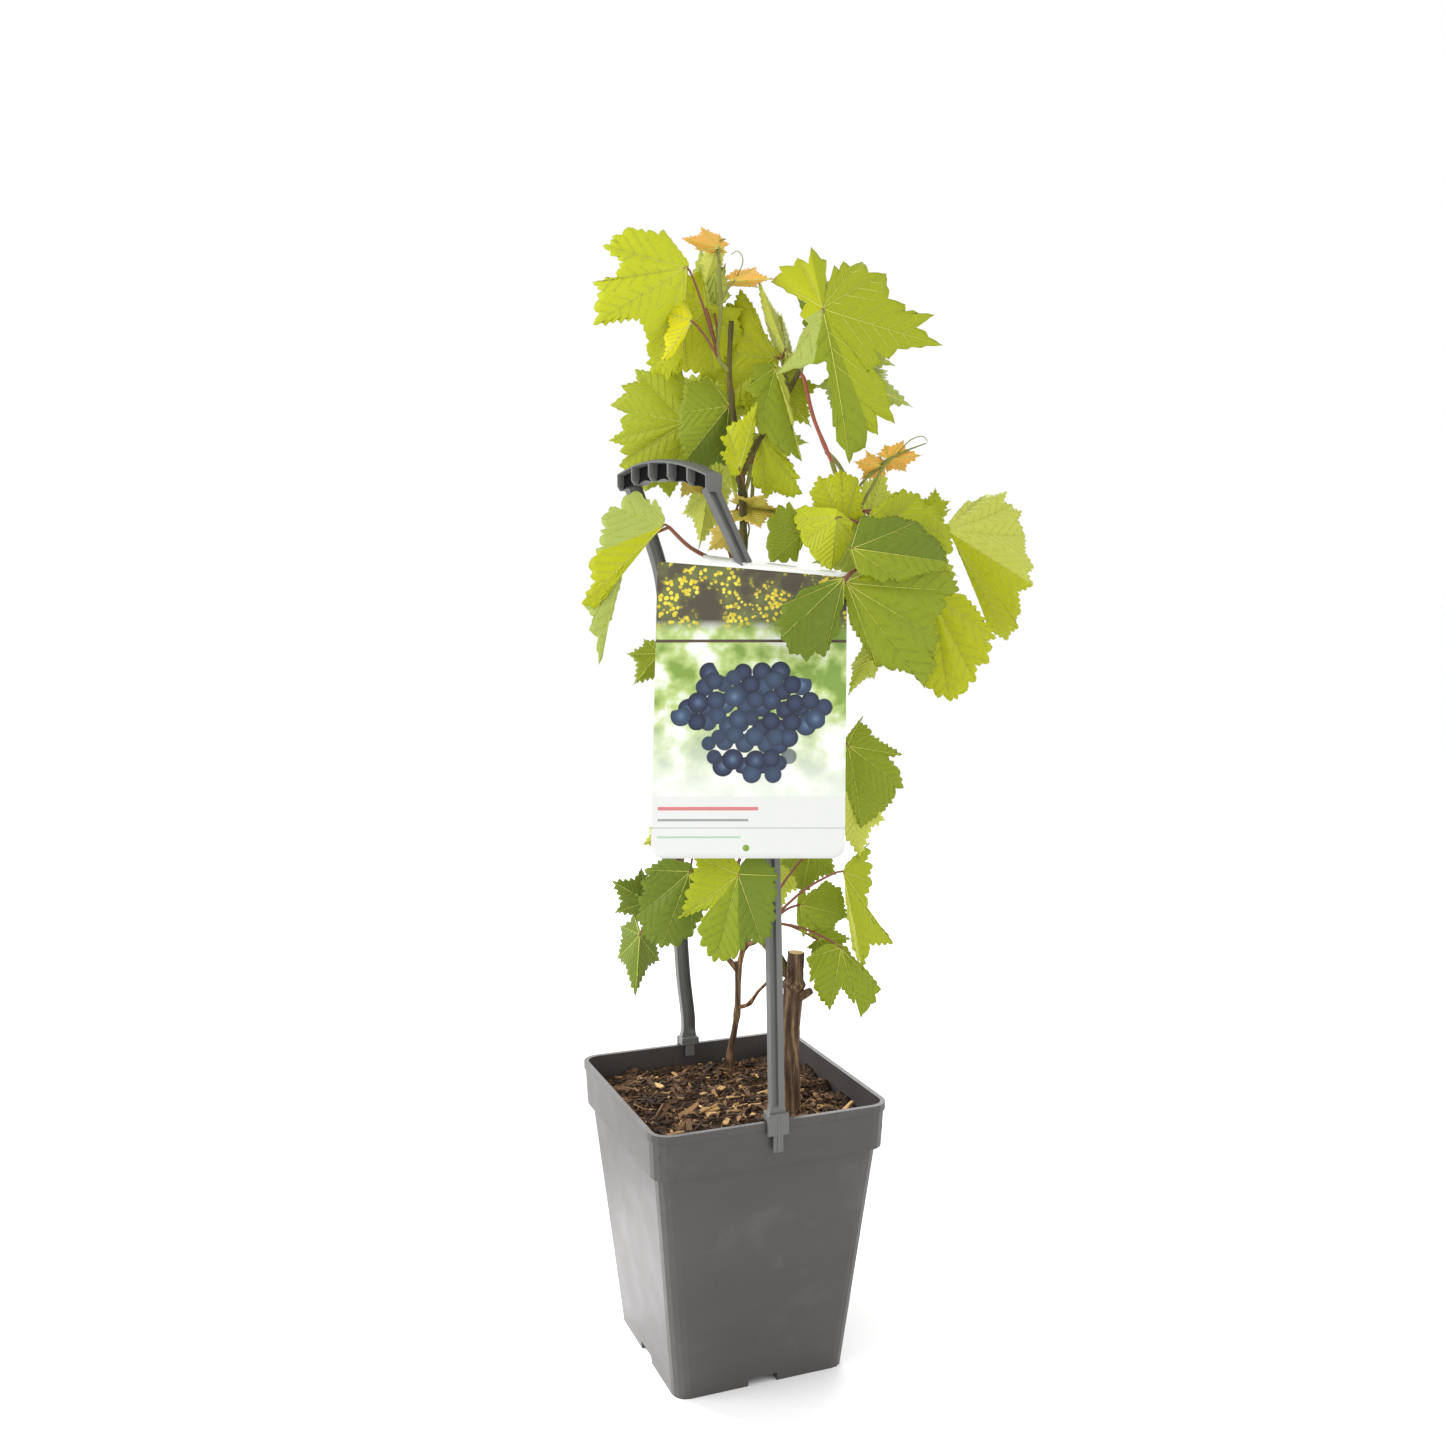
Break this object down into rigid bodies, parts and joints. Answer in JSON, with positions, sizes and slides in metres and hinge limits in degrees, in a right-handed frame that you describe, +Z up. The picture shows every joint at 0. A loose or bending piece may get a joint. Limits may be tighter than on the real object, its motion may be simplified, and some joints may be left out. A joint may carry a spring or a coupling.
{
  "type": "potted grapevine",
  "caption": "Young grapevine with bare lower stems and loose lobed leaves in a tall square nursery pot with a clip-on carry handle and a hanging label card.",
  "frame": {"origin": "centre of the pot's underside, on the ground", "axes": "+Z up, X and Y along the pot's sides; the plant and handle are seen squarely from about 21 degrees to the left of -Y"},
  "size_m": [0.2704, 0.1781, 0.6862],
  "materials": {
    "bark": "rough bark",
    "cane_bark": "smooth young bark",
    "young_shoot": "satin green wood",
    "foliage": "matte leaf",
    "pot_plastic": "matte moulded",
    "handle_plastic": "matte moulded",
    "soil": "loose and rough",
    "label_card": "coated print"
  },
  "bodies": {
    "root": {"stump": "bark", "cane_lower": "cane_bark", "cane_left": "cane_bark", "cane_right": "cane_bark", "arching_shoot": "young_shoot", "thin_stem": "bark", "back_cane": "bark", "side_twig": "bark", "foliage_top_left": "foliage", "foliage_top_centre": "foliage", "foliage_top_right": "foliage", "foliage_middle_left": "foliage", "foliage_middle_centre": "foliage", "foliage_left": "foliage", "foliage_right": "foliage", "foliage_right_low": "foliage", "foliage_low_right": "foliage", "foliage_low_centre": "foliage", "foliage_low_left": "foliage", "foliage_middle_back": "foliage", "foliage_upper_back": "foliage", "foliage_right_back": "foliage", "foliage_low_back": "foliage", "pot": "pot_plastic", "soil": "soil", "handle": "handle_plastic", "label_card": "label_card"}
  },
  "joints": []
}
